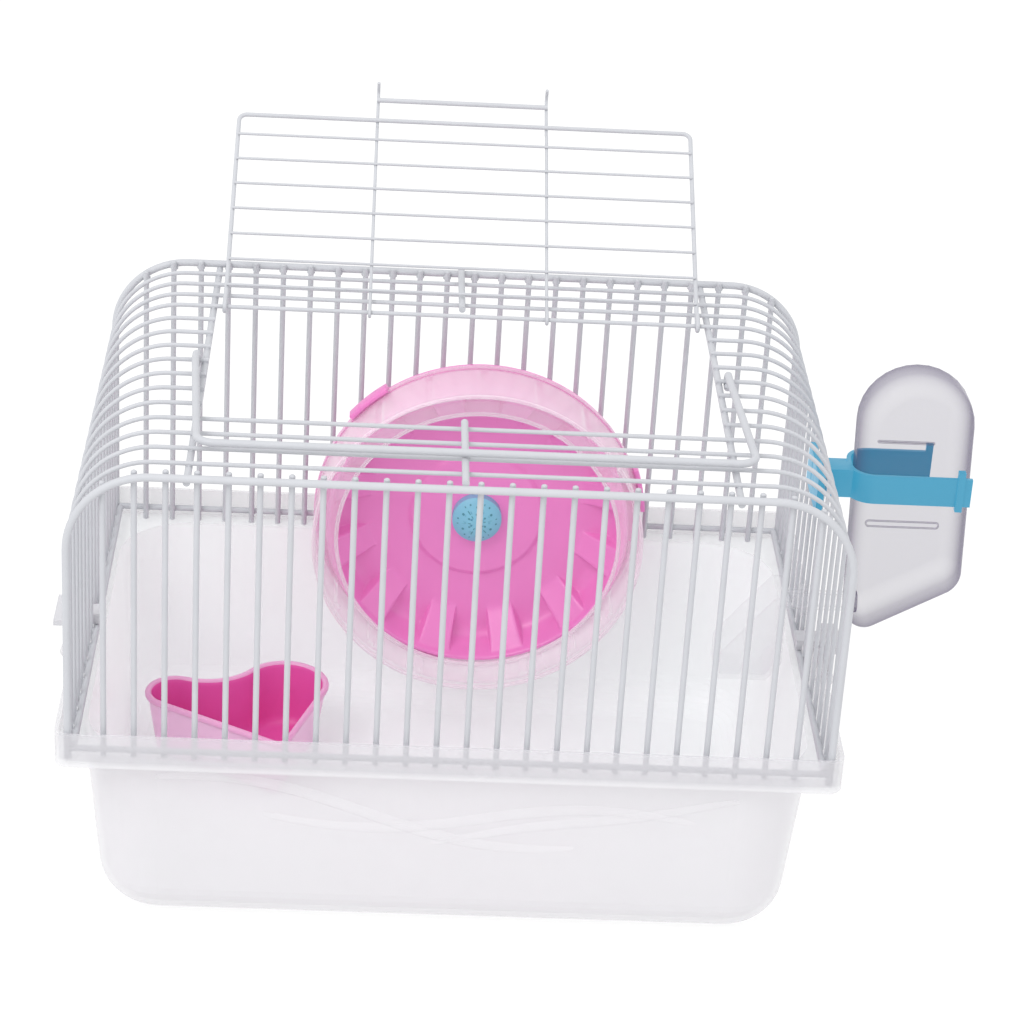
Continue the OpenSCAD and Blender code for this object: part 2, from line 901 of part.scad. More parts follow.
module bottle_shell() {
    color(clear) {
        difference() {
            bottle_body(0);
            bottle_body(bottle_wall);
            rod([bottle_x - 24, tube_y, tube_z], along_x, 12, tube_r + tube_gap);
        }
        bottle_mark(-4, 162.5, 20, 1.2);
        bottle_mark(-2, 131, 26, 2.6);
    }
}

// Drinking trough: an open cup, a collar that two side wires snap into and a
// tube that plugs into the bottle
module bottle_trough() {
    cup_to = half_w - 8.5;
    cup_len = 23;
    cup_bottom = 66;
    cup_lip = 9;
    cup_half = 9;
    cup_back = tube_z + tube_r + 1;
    wall = 1.4;
    collar_r = 5.4;
    collar_half = 2.6;
    tube_end = bottle_x - 13;
    color(clear)
        difference() {
            union() {
                rod([cup_to - 2, tube_y, tube_z], along_x, tube_end + 2 - cup_to, tube_r);
                rod([half_w - collar_half, tube_y, tube_z], along_x, 2 * collar_half,
                    collar_r);
                cup_block(cup_to - cup_len, cup_half, [
                    [0, cup_bottom], [cup_len - 5, cup_bottom], [cup_len, cup_bottom + 7],
                    [cup_len, cup_back], [cup_len - 4, cup_back], [0, cup_bottom + cup_lip]
                ]);
            }
            cup_block(cup_to - cup_len, cup_half - wall, [
                [wall, cup_bottom + wall], [cup_len - 5.4, cup_bottom + wall],
                [cup_len - wall, cup_bottom + 7.4], [cup_len - wall, cup_back + 1],
                [wall, cup_back + 1]
            ]);
            rod([cup_to - 3, tube_y, tube_z], along_x, bottle_w, tube_r - 1.2);
            for (i = [8, 9])
                rod([half_w, arch_y(i), tube_z - 10], [0, 0, 0], 20, arch_r + 0.05);
        }
}

// A side outline of the cup, drawn in X and Z, given its width along Y
module cup_block(x_from, half, outline) {
    translate([x_from, tube_y + half, 0])
        rotate([90, 0, 0])
            linear_extrude(2 * half)
                polygon(outline);
}

// Spring clip: two arms round the bottle and a neck between two arch wires
module bottle_clip() {
    front = bottle_y - bottle_t / 2 - arm_gap;
    rear = bottle_y + bottle_t / 2 + arm_gap;
    left = bottle_x - bottle_w / 2 - arm_gap;
    right = bottle_x + bottle_w / 2;
    root_r = 7 + arm_gap;
    neck_x = half_w + arch_r + 0.2;
    front_tab = right - 4.8;
    rear_tab = right - 13;
    tab_t = 2.4;
    color(blue) {
        translate([0, 0, clip_z])
            linear_extrude(clip_h) {
                arm_outline(left, rear_tab + tab_t, rear, arm_t, root_r, 1);
                arm_outline(left, right + 0.4, front, arm_t, root_r, -1);
                translate([left - arm_t, front + root_r - 0.5])
                    square([arm_t, rear - front - 2 * root_r + 1]);
            }
        translate([front_tab, front - arm_t - 0.9, clip_z - 1.6])
            cube([tab_t, arm_t + 0.9, clip_h + 4.5]);
        translate([rear_tab, rear, clip_z])
            cube([tab_t, arm_t, clip_h + 2.9]);
        translate([neck_x, bottle_y - 7, clip_z])
            cube([left - neck_x - 0.2, 7.5, clip_h]);
        translate([half_w - 3.2, latch_y - 3.6, clip_z + 1])
            cube([left - half_w + 3, 7.2, clip_h - 2]);
    }
}

// One clip arm: straight along the bottle's face with a rounded root
module arm_outline(x_from, x_to, y, t, r, side) {
    translate([x_from + r, min(y, y + side * t)])
        square([x_to - x_from - r, t]);
    translate([x_from + r, y - side * r])
        intersection() {
            difference() {
                circle(r = r + t);
                circle(r = r);
            }
            translate([-r - t, side > 0 ? 0 : -r - t])
                square([r + t, r + t]);
        }
}

// Inner plate that the clip's neck locks into
module clip_backplate() {
    plate_x = half_w - arch_r - 0.15 - 2.4;
    plate_z = clip_z - 4;
    neck = [7.2 + 0.1, clip_h - 2 + 0.1];
    color(blue)
        difference() {
            translate([plate_x, latch_y - 14, plate_z])
                cube([2.4, 28, 14.5]);
            translate([plate_x - 1, latch_y - neck[0] / 2, clip_z + 0.95])
                cube([5, neck[0], neck[1]]);
        }
}

// ----------------------------------------------------------------- nodes

base_tray();
left_latch();
right_latch();
food_bowl();
front_frame_wire();
rear_frame_wire();
front_bars();
rear_bars();
front_bottom_wire();
rear_bottom_wire();
left_bottom_wire();
right_bottom_wire();
front_arch_wires();
rear_arch_wires();
left_side_wires();
right_side_wires();
left_border_wire();
right_border_wire();
front_stiffener();
rear_stiffener();
door_frame_wire();
door_cross_wires();
door_rib_wires();
door_grip_bar();
carry_handle();
wheel_bracket();
bracket_clamp();
wheel_axle();
axle_nut();
wheel_dish();
wheel_ring();
hub_cap();
bottle_clip();
clip_backplate();
bottle_shell();
bottle_trough();
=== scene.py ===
"""Small hamster cage: frosted tray, white wire top, running wheel, heart bowl and clip-on bottle.

The CAD frame gives every place. This script adds the materials, the pieces that need finer
surfaces than the CAD, and a plain studio with the camera at the photograph's angle.
"""
import math

import bmesh
import bpy
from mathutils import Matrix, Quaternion, Vector


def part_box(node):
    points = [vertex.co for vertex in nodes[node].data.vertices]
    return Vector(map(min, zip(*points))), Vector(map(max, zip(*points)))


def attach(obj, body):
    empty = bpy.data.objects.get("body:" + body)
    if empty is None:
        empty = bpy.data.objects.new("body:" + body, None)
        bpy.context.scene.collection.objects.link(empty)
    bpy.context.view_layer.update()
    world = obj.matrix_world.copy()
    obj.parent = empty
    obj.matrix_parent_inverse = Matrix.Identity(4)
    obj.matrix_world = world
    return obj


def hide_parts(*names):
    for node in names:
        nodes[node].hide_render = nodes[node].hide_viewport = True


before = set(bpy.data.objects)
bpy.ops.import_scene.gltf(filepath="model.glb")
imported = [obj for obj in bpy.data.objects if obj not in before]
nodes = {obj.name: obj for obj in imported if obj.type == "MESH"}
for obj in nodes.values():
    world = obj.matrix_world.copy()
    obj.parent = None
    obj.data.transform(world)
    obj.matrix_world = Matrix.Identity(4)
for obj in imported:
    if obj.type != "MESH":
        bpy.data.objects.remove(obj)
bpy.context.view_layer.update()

MM = 0.001
# Points closer than this are one point
MERGE_GAP = 0.01 * MM
# Points this close to a node's end belong to the end
END_SPAN = 0.5 * MM


# ---------------------------------------------------------------- camera and studio

# Where the camera stands, in metres, and how far it looks down, turns right and leans
CAMERA_AT = Vector((-0.0300, -0.9662, 0.6179))
CAMERA_PITCH = math.radians(27.08)
CAMERA_YAW = math.radians(2.94)
CAMERA_ROLL = math.radians(3.58)
# Focal length and sensor width in millimetres
CAMERA_LENS = 109.1
CAMERA_SENSOR = 36
# The table is grey paper with light under it, so that no hard shadow falls on it
FLOOR_SIZE = 12.0
FLOOR_DROP = 0.2 * MM
FLOOR_TONE = (0.22, 0.22, 0.22)
FLOOR_GLOW = 0.80
WORLD_GLOW = 1.0
# Soft boxes: name, place in metres and power in watts
SOFT_BOXES = [("key", (-1.1, -1.3, 1.9), 26), ("fill", (1.8, -0.6, 1.3), 5)]
SOFT_BOX_SIZE = 1.4
LIGHT_AIM = (0, 0, 0.08)


def make_camera():
    """The camera stands in front and above, and leans a little, as a hand-held one does."""
    camera = bpy.data.objects.new("camera", bpy.data.cameras.new("camera"))
    bpy.context.scene.collection.objects.link(camera)
    ahead = Vector((
        math.sin(CAMERA_YAW) * math.cos(CAMERA_PITCH),
        math.cos(CAMERA_YAW) * math.cos(CAMERA_PITCH),
        -math.sin(CAMERA_PITCH),
    ))
    camera.rotation_mode = "QUATERNION"
    camera.location = CAMERA_AT
    camera.rotation_quaternion = (
        ahead.to_track_quat("-Z", "Y") @ Quaternion((0, 0, 1), CAMERA_ROLL)
    )
    camera.data.sensor_width = CAMERA_SENSOR
    camera.data.lens = CAMERA_LENS
    camera.data.clip_start = 0.01
    camera.data.clip_end = 50
    bpy.context.scene.camera = camera


def area_light(name, place, power):
    """A square soft box at place that points at the cage."""
    light = bpy.data.objects.new(name, bpy.data.lights.new(name, "AREA"))
    bpy.context.scene.collection.objects.link(light)
    light.data.size = SOFT_BOX_SIZE
    light.data.energy = power
    light.location = place
    light.rotation_mode = "QUATERNION"
    light.rotation_quaternion = (Vector(LIGHT_AIM) - Vector(place)).to_track_quat("-Z", "Y")


def make_studio():
    """White surround, a pale lit table as product shots have, and two soft boxes."""
    world = bpy.data.worlds.new("studio")
    world.use_nodes = True
    world.node_tree.nodes["Background"].inputs["Color"].default_value = (1, 1, 1, 1)
    world.node_tree.nodes["Background"].inputs["Strength"].default_value = WORLD_GLOW
    scene = bpy.context.scene
    scene.world = world
    scene.view_settings.view_transform = "Standard"
    scene.cycles.transparent_max_bounces = 40
    scene.cycles.transmission_bounces = 12
    scene.cycles.max_bounces = 14

    mesh = bpy.data.meshes.new("floor")
    half = FLOOR_SIZE / 2
    mesh.from_pydata([(-half, -half, 0), (half, -half, 0), (half, half, 0), (-half, half, 0)],
                     [], [(0, 1, 2, 3)])
    floor = bpy.data.objects.new("floor", mesh)
    floor.location.z = -FLOOR_DROP
    scene.collection.objects.link(floor)
    paper = surface("floor_paper", FLOOR_TONE, 0.9, tone=0.01, tone_scale=3,
                    grain=0, specular=0.1)
    glow = paper.node_tree.nodes["Principled BSDF"].inputs
    glow["Emission Color"].default_value = (1, 1, 1, 1)
    glow["Emission Strength"].default_value = FLOOR_GLOW
    mesh.materials.append(paper)

    for name, place, power in SOFT_BOXES:
        area_light(name, place, power)


# ---------------------------------------------------------------- materials

# How far red, green and blue light spreads in a moulding, in metres
LIGHT_REACH = (0.004, 0.003, 0.003)
# A frosted face whose normal rises this much counts as the inside, which gets painted light
INSIDE_RISE = 0.07
# Half the height over which the frosted wall changes to the rim
RIM_FADE = 1 * MM


def add_node(tree, kind, **values):
    """A new node with its properties or inputs set by name."""
    node = tree.nodes.new(kind)
    for key, value in values.items():
        if key in node.inputs:
            node.inputs[key].default_value = value
        else:
            setattr(node, key, value)
    return node


def noise(tree, coords, scale, detail=2.0, roughness=0.5):
    """Fractal noise in the object's own metres."""
    node = add_node(tree, "ShaderNodeTexNoise", Scale=scale, Detail=detail, Roughness=roughness)
    tree.links.new(coords, node.inputs["Vector"])
    return node.outputs["Fac"]


def remap(tree, value, from_min, from_max, to_min, to_max):
    """A clamped linear map of a value."""
    node = add_node(tree, "ShaderNodeMapRange")
    for name, number in (("From Min", from_min), ("From Max", from_max),
                         ("To Min", to_min), ("To Max", to_max)):
        node.inputs[name].default_value = number
    tree.links.new(value, node.inputs["Value"])
    return node.outputs["Result"]


def surface(name, colour, rough, tone=0.03, tone_scale=60, grain=0.02, grain_scale=900,
            rough_spread=0.06, specular=0.5, subsurface=0.0, metallic=0.0):
    """A moulded or coated surface: cloudy tone, uneven gloss and a fine grain."""
    material = bpy.data.materials.new(name)
    material.use_nodes = True
    tree = material.node_tree
    shader = tree.nodes["Principled BSDF"]
    coords = tree.nodes.new("ShaderNodeTexCoord").outputs["Object"]

    cloud = noise(tree, coords, tone_scale, 3)
    mix = add_node(tree, "ShaderNodeMix", data_type="RGBA")
    mix.inputs["A"].default_value = (*[c * (1 - tone) for c in colour], 1)
    mix.inputs["B"].default_value = (*[min(1, c * (1 + tone)) for c in colour], 1)
    tree.links.new(cloud, mix.inputs["Factor"])
    tree.links.new(mix.outputs["Result"], shader.inputs["Base Color"])

    patch = noise(tree, coords, tone_scale * 2.3, 2)
    gloss = remap(tree, patch, 0, 1, max(0.0, rough - rough_spread), min(1.0, rough + rough_spread))
    tree.links.new(gloss, shader.inputs["Roughness"])

    if grain:
        fine = noise(tree, coords, grain_scale, 2)
        bump = add_node(tree, "ShaderNodeBump", Strength=grain, Distance=0.001)
        tree.links.new(fine, bump.inputs["Height"])
        tree.links.new(bump.outputs["Normal"], shader.inputs["Normal"])

    shader.inputs["Specular IOR Level"].default_value = specular
    shader.inputs["Subsurface Weight"].default_value = subsurface
    shader.inputs["Subsurface Radius"].default_value = LIGHT_REACH
    shader.inputs["Metallic"].default_value = metallic
    return material


def see_through(material, face_on, edge_on, blend=0.35):
    """Lets light through a thin wall: less where the wall is seen edge on.

    A small blend keeps the thick look to a narrow line at the outline.
    """
    tree = material.node_tree
    facing = add_node(tree, "ShaderNodeLayerWeight", Blend=blend).outputs["Facing"]
    alpha = remap(tree, facing, 0, 1, face_on, edge_on)
    tree.links.new(alpha, tree.nodes["Principled BSDF"].inputs["Alpha"])
    return material


def add_painted_glow(material, colour, strength):
    """Painted light: an emission that softens the shaded side of a translucent moulding, standing
    in for light that passes through it.
    """
    shader = material.node_tree.nodes["Principled BSDF"]
    shader.inputs["Emission Color"].default_value = (*colour, 1)
    shader.inputs["Emission Strength"].default_value = strength
    return material


def frosted(name, outside, inside, rim, rim_z, body_alpha, rim_alpha, glow):
    """Frosted moulding, thin above rim_z, with painted light inside: a paler tone and a glow stand
    in for the light that comes through it.

    Faces that look up even slightly, as the sloping inner walls do, count as inside.
    """
    material = surface(name, outside, 0.42, tone=0.012, tone_scale=25, grain=0.05,
                       grain_scale=1400)
    tree = material.node_tree
    shader = tree.nodes["Principled BSDF"]
    coords = tree.nodes.new("ShaderNodeTexCoord").outputs["Object"]
    split = tree.nodes.new("ShaderNodeSeparateXYZ")
    tree.links.new(coords, split.inputs["Vector"])
    above = remap(tree, split.outputs["Z"], rim_z - RIM_FADE, rim_z + RIM_FADE, 0, 1)
    facing = tree.nodes.new("ShaderNodeSeparateXYZ")
    tree.links.new(tree.nodes.new("ShaderNodeNewGeometry").outputs["Normal"],
                   facing.inputs["Vector"])
    painted_inside_light_mask = remap(tree, facing.outputs["Z"], 0, INSIDE_RISE, 0, 1)

    base = shader.inputs["Base Color"].links[0].from_socket
    # The paler inside tint is painted light
    for factor, colour in ((painted_inside_light_mask, inside), (above, rim)):
        tint = add_node(tree, "ShaderNodeMix", data_type="RGBA")
        tree.links.new(factor, tint.inputs["Factor"])
        tree.links.new(base, tint.inputs["A"])
        tint.inputs["B"].default_value = (*colour, 1)
        base = tint.outputs["Result"]
    tree.links.new(base, shader.inputs["Base Color"])

    # Painted light: the inside faces glow as if lit through the frosted walls
    shader.inputs["Emission Color"].default_value = (1.0, 0.985, 1.0, 1)
    tree.links.new(remap(tree, painted_inside_light_mask, 0, 1, 0, glow), shader.inputs["Emission Strength"])

    alpha = remap(tree, above, 0, 1, body_alpha, rim_alpha)
    cloud = remap(tree, noise(tree, coords, 40, 2), 0, 1, 0.96, 1.04)
    vary = add_node(tree, "ShaderNodeMath", operation="MULTIPLY")
    tree.links.new(alpha, vary.inputs[0])
    tree.links.new(cloud, vary.inputs[1])
    tree.links.new(vary.outputs["Value"], shader.inputs["Alpha"])
    return material


def paint(material, *names):
    """Gives CAD nodes a material in all their slots."""
    for name in names:
        for slot in nodes[name].material_slots:
            slot.material = material


def soften(width, *names):
    """Small rounded edges on moulded CAD nodes, added as modifiers."""
    for name in names:
        weld = nodes[name].modifiers.new("weld", "WELD")
        weld.merge_threshold = MERGE_GAP
        bevel = nodes[name].modifiers.new("soft_edges", "BEVEL")
        bevel.width = width
        bevel.segments = 3
        bevel.limit_method = "ANGLE"
        bevel.angle_limit = math.radians(40)
        bevel.harden_normals = True


def smooth(*names, angle=35):
    """Smooth shading over the curved faces of CAD nodes."""
    for name in names:
        mesh = nodes[name].data
        mesh.shade_smooth()
        mesh.set_sharp_from_angle(angle=math.radians(angle))


# ---------------------------------------------------------------- mesh helpers

def tangent_turn(a, a_r, b, b_r):
    """Direction from circle a to where its outer tangent to circle b leaves it.

    The outline runs anticlockwise. A negative radius is a hollow.
    """
    d = b - a
    ratio = max(-1.0, min(1.0, (a_r - b_r) / d.length))
    return math.atan2(d.y, d.x) - math.acos(ratio)


def outline(circles, inset, arc_steps):
    """Points of a closed outline round circles [(centre, radius)], shrunk by an inset."""
    count = len(circles)
    turns = []
    for i, (centre, radius) in enumerate(circles):
        following, following_r = circles[(i + 1) % count]
        turns.append(tangent_turn(centre, radius - inset, following, following_r - inset))
    points = []
    for i, (centre, radius) in enumerate(circles):
        start = turns[i - 1]
        sweep = (turns[i] - start) % math.tau
        if radius < 0:
            sweep -= math.tau
        for k in range(arc_steps + 1):
            angle = start + sweep * k / arc_steps
            points.append(centre + (radius - inset) * Vector((math.cos(angle), math.sin(angle))))
    return points


def skin(bm, rings, material_rows=None):
    """Joins a stack of closed rings of 3D points by quads and closes both ends."""
    rows = [[bm.verts.new(p) for p in ring] for ring in rings]
    count = len(rows[0])
    bm.faces.new(reversed(rows[0]))
    for r in range(len(rows) - 1):
        for i in range(count):
            j = (i + 1) % count
            face = bm.faces.new((rows[r][i], rows[r][j], rows[r + 1][j], rows[r + 1][i]))
            if material_rows:
                face.material_index = material_rows[r]
    cap = bm.faces.new(rows[-1])
    if material_rows:
        cap.material_index = material_rows[-1]


def skin_loop(bm, rings):
    """Joins closed rings of 3D points by quads, and the last ring to the first."""
    rows = [[bm.verts.new(p) for p in ring] for ring in rings]
    for r, row in enumerate(rows):
        following = rows[(r + 1) % len(rows)]
        for i in range(len(row)):
            j = (i + 1) % len(row)
            bm.faces.new((row[i], row[j], following[j], following[i]))


def finish_mesh(name, bm):
    """A mesh from bm with doubled points joined and its outside facing out."""
    bmesh.ops.remove_doubles(bm, verts=bm.verts, dist=MERGE_GAP)
    bmesh.ops.recalc_face_normals(bm, faces=bm.faces)
    mesh = bpy.data.meshes.new(name)
    bm.to_mesh(mesh)
    bm.free()
    return mesh


def new_piece(name, mesh, materials, body, slot, *replaced, angle=40):
    """A mesh as an object on a body, hiding any CAD nodes it stands for. The slot is not used."""
    piece = bpy.data.objects.new(name, mesh)
    bpy.context.scene.collection.objects.link(piece)
    for material in materials:
        mesh.materials.append(material)
    mesh.shade_smooth()
    mesh.set_sharp_from_angle(angle=math.radians(angle))
    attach(piece, body)
    if replaced:
        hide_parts(*replaced)
    return piece


# ---------------------------------------------------------------- food bowl

# Radii of the heart's two lobes, its tip and the hollow between the lobes
BOWL_LOBE_R = 16.5 * MM
BOWL_EAR_R = 11.3 * MM
BOWL_TIP_R = 4.5 * MM
BOWL_NOTCH_R = 20 * MM
# The small lobe sits lower than the large one, and the tip beside its centre
EAR_DROP = 9.0 * MM
TIP_SHIFT = 0.7 * MM
# Deep inside the wall the tip's circle backs away this way and this fast
TIP_TURN = math.radians(110.6)
TIP_RATE = 1.58
TIP_LEAST_R = 1.0 * MM
BOWL_ARC_STEPS = 14

# Wall profile: inset from the lip and height above the foot, in millimetres
BOWL_OUTSIDE = [(8.2, 0.0), (6.8, 0.12), (5.6, 0.7), (4.8, 1.9), (4.2, 4.0), (3.6, 8.0),
                (1.35, 22.6), (1.2, 23.5)]
BOWL_LIP = [(0.75, 23.75), (0.25, 23.95), (0.0, 24.45), (0.0, 25.1), (0.25, 25.65),
            (0.75, 25.95), (1.45, 25.98), (2.0, 25.75), (2.35, 25.2)]
BOWL_INSIDE = [(2.6, 23.6), (4.7, 9.0), (5.4, 5.0), (6.2, 3.1), (7.4, 2.0), (9.0, 1.6),
               (9.8, 1.58)]


def make_bowl(inside, lip, outside):
    """Heart bowl with a rolled lip, tapered walls and a rounded foot."""
    low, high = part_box("food_bowl")
    lobe = Vector((high.x - BOWL_LOBE_R, high.y - BOWL_LOBE_R))
    ear = Vector((low.x + BOWL_EAR_R, lobe.y - EAR_DROP))
    tip = Vector((lobe.x - TIP_SHIFT, low.y + BOWL_TIP_R))
    apart = lobe - ear
    reach_ear, reach_lobe = BOWL_EAR_R + BOWL_NOTCH_R, BOWL_LOBE_R + BOWL_NOTCH_R
    along = (reach_ear**2 - reach_lobe**2 + apart.length_squared) / (2 * apart.length)
    up = math.sqrt(reach_ear**2 - along**2)
    unit = apart.normalized()
    notch = ear + along * unit + up * Vector((-unit.y, unit.x))
    inward = Vector((math.cos(TIP_TURN), math.sin(TIP_TURN)))

    profile = BOWL_OUTSIDE + BOWL_LIP + BOWL_INSIDE
    rings = []
    for inset_mm, height_mm in profile:
        inset = inset_mm * MM
        back = max(0.0, inset - (BOWL_TIP_R - TIP_LEAST_R))
        circles = [
            (lobe, BOWL_LOBE_R), (notch, -BOWL_NOTCH_R), (ear, BOWL_EAR_R),
            (tip + TIP_RATE * back * inward, max(BOWL_TIP_R, inset + TIP_LEAST_R)),
        ]
        flat = outline(circles, inset, BOWL_ARC_STEPS)
        rings.append([(p.x, p.y, low.z + height_mm * MM) for p in flat])
    # Material of each band: 2 outside, 1 lip, 0 inside; the outside and lip are paler copies of the
    # pink, painted light
    rows = [2] * (len(BOWL_OUTSIDE) - 1) + [1] * len(BOWL_LIP) + [0] * (len(BOWL_INSIDE) + 1)
    bm = bmesh.new()
    skin(bm, rings, rows)
    mesh = finish_mesh("bowl_heart", bm)
    new_piece("bowl_heart", mesh, (inside, lip, outside), "bowl", "pink_plastic",
              "food_bowl", angle=60)


# ---------------------------------------------------------------- water bottle

# Width, thickness from front to back, and wall
BOTTLE_W = 40 * MM
BOTTLE_T = 19 * MM
BOTTLE_WALL = 1.2 * MM
# Rounding between the bottle's flat faces and its sides
BOTTLE_EDGE = 6.6 * MM
EDGE_STEPS = 9
BOTTLE_ARC_STEPS = 16
# The flat face's own ring lies this far inside the rounding
FACE_INSET = 0.3 * MM
# Outer lower corner, which stands a little past the dome's side
HEEL_R = 9 * MM
HEEL_OUT = 2.2 * MM
HEEL_Z = 110 * MM
# Lowest corner, beside the wires, with the hole for the trough's tube
TOE_R = 7 * MM
TOE_IN = 2.5 * MM
TOE_Z = 94 * MM
TUBE_R = 3.6 * MM
TUBE_GAP = 0.3 * MM
HOLE_LENGTH = 9 * MM
HOLE_SIDES = 48
# Raised marks in millimetres: place from the bottle's middle, height over the table, length,
# height, width of the line and relief
BOTTLE_MARKS = [(-4, 162.5, 20, 1.2, 0.55, 0.22), (-2, 131, 26, 2.8, 0.6, 0.24)]
MARK_ROOT = 0.3 * MM
MARK_ARC_STEPS = 12


def bottle_rings(mid, top, wall):
    """Rings across the bottle from its front to its back, shrunk by a wall."""
    dome_r = BOTTLE_W / 2
    circles = [
        (Vector((mid.x, top - dome_r)), dome_r),
        (Vector((mid.x - dome_r + TOE_R + TOE_IN, TOE_Z)), TOE_R),
        (Vector((mid.x + dome_r + HEEL_OUT - HEEL_R, HEEL_Z)), HEEL_R),
    ]
    edge = BOTTLE_EDGE - wall
    core = BOTTLE_T / 2 - BOTTLE_EDGE
    half = [(edge + FACE_INSET, core + edge)]
    for k in range(EDGE_STEPS + 1):
        turn = math.pi / 2 * k / EDGE_STEPS
        half.append((edge * (1 - math.sin(turn)), core + edge * math.cos(turn)))
    sections = [(inset, -y) for inset, y in half] + [(inset, y) for inset, y in reversed(half)]
    rings = []
    for inset, y in sections:
        flat = outline(circles, inset + wall, BOTTLE_ARC_STEPS)
        rings.append([(p.x, mid.y + y, p.y) for p in flat])
    return rings


def tube_hole(mesh, centre, radius, length):
    """Cuts a round hole along X through one wall of a mesh and returns the cut mesh."""
    body = bpy.data.objects.new("bottle_uncut", mesh)
    bm = bmesh.new()
    rings = []
    for x in (centre.x - length / 2, centre.x + length / 2):
        rings.append([(x, centre.y + radius * math.cos(a), centre.z + radius * math.sin(a))
                      for a in (math.tau * i / HOLE_SIDES for i in range(HOLE_SIDES))])
    skin(bm, rings)
    cutter = bpy.data.objects.new("tube_cutter", finish_mesh("tube_cutter", bm))
    for thing in (body, cutter):
        bpy.context.scene.collection.objects.link(thing)
    cut = body.modifiers.new("hole", "BOOLEAN")
    cut.object = cutter
    cut.operation = "DIFFERENCE"
    cut.solver = "EXACT"
    graph = bpy.context.evaluated_depsgraph_get()
    result = bpy.data.meshes.new_from_object(body.evaluated_get(graph))
    for thing in (body, cutter):
        bpy.data.objects.remove(thing)
    return result


def raised_outline(bm, x, z, length, height, line, front, proud):
    """A raised line round a long round-ended shape on the bottle's front."""
    half = (length - height) / 2
    circles = [(Vector((x + half, z)), height / 2), (Vector((x - half, z)), height / 2)]
    sections = [(0.0, MARK_ROOT), (0.05 * MM, -proud * 0.6), (line * 0.35, -proud),
                (line * 0.65, -proud), (line * 0.95, -proud * 0.6), (line, MARK_ROOT)]
    skin_loop(bm, [[(p.x, front + y, p.y) for p in outline(circles, inset, MARK_ARC_STEPS)]
                   for inset, y in sections])


def tube_axis_z():
    """Height of the trough's tube, from the part of it that stands furthest out."""
    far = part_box("bottle_trough")[1].x
    heights = [v.co.z for v in nodes["bottle_trough"].data.vertices if v.co.x > far - END_SPAN]
    return (min(heights) + max(heights)) / 2


def make_bottle(material):
    """Flat bottle: a dome, leaning sides, a slanting bottom and two raised marks."""
    low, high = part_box("bottle_shell")
    mid = Vector((low.x + BOTTLE_W / 2, high.y - BOTTLE_T / 2, 0))
    bm = bmesh.new()
    skin(bm, bottle_rings(mid, high.z, 0.0))
    skin(bm, bottle_rings(mid, high.z, BOTTLE_WALL))
    mesh = finish_mesh("bottle_walls", bm)

    tube_low, tube_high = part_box("bottle_trough")
    tube = Vector((low.x + TOE_IN, (tube_low.y + tube_high.y) / 2, tube_axis_z()))
    mesh = tube_hole(mesh, tube, TUBE_R + TUBE_GAP, HOLE_LENGTH)
    body = new_piece("bottle_body", mesh, (material,), "bottle", "clear_plastic",
                     "bottle_shell", angle=50)
    body.visible_shadow = False

    bm = bmesh.new()
    front = mid.y - BOTTLE_T / 2
    for mark in BOTTLE_MARKS:
        x, z, length, height, line, proud = (value * MM for value in mark)
        raised_outline(bm, mid.x + x, z, length, height, line, front, proud)
    new_piece("bottle_marks", finish_mesh("bottle_marks", bm), (material,), "bottle",
              "clear_plastic")


# ---------------------------------------------------------------- welds and bar tips

# Half sizes of the beads along X, Y and Z; a bar's rounded tip is sized in bar radii
TIP_SIZE = Vector((1, 1, 0.6)) * 1.02
BAR_WELD = Vector((1.5, 0.8, 1.2)) * MM
RAIL_WELD = Vector((1.4, 0.7, 1.3)) * MM
BORDER_WELD = Vector((1.1, 0.95, 0.6)) * MM
SIDE_WELD = Vector((0.6, 0.95, 1.1)) * MM
WELD_LUMPS = 0.1
TIP_LUMPS = 0.02
# A bar's top weld is this far under its tip, and a side weld this far out from its rail
WELD_DROP = 2.4 * MM
RAIL_SIDE = 1.1 * MM
# A weld's middle lies this share of the bar's radius out from the bar's middle
WELD_SIT = 0.9
# Steps from pole to pole and round a bead, and how its lumps turn with its place
BEAD_STACKS = 5
BEAD_SLICES = 10
LUMP_X = 40
LUMP_Y = 17
# Points further apart than this belong to different wires
WIRE_APART = 3 * MM


def centres(node, axis):
    """Places along an axis of the separate wires in a node, by their lowest points."""
    points = [v.co for v in nodes[node].data.vertices]
    level = min(p.z for p in points)
    values = sorted(p[axis] for p in points if p.z - level < END_SPAN)
    groups = []
    for value in values:
        if not groups or value - groups[-1][-1] > WIRE_APART:
            groups.append([])
        groups[-1].append(value)
    return [(g[0] + g[-1]) / 2 for g in groups]


def bead(bm, centre, radii, lumps):
    """A small uneven blob of weld or coating, built ring by ring."""
    phase = (LUMP_X * centre.x + LUMP_Y * centre.y) / MM
    top = bm.verts.new(centre + Vector((0, 0, radii.z)))
    bottom = bm.verts.new(centre - Vector((0, 0, radii.z)))
    rows = []
    for s in range(1, BEAD_STACKS):
        polar = math.pi * s / BEAD_STACKS
        row = []
        for i in range(BEAD_SLICES):
            turn = math.tau * i / BEAD_SLICES
            swell = 1 + lumps * math.sin(3 * turn + phase)
            row.append(bm.verts.new(centre + Vector((
                radii.x * swell * math.sin(polar) * math.cos(turn),
                radii.y * swell * math.sin(polar) * math.sin(turn),
                radii.z * math.cos(polar),
            ))))
        rows.append(row)
    for i in range(BEAD_SLICES):
        j = (i + 1) % BEAD_SLICES
        bm.faces.new((top, rows[0][i], rows[0][j]))
        bm.faces.new((bottom, rows[-1][j], rows[-1][i]))
        for r in range(len(rows) - 1):
            bm.faces.new((rows[r][i], rows[r + 1][i], rows[r + 1][j], rows[r][j]))


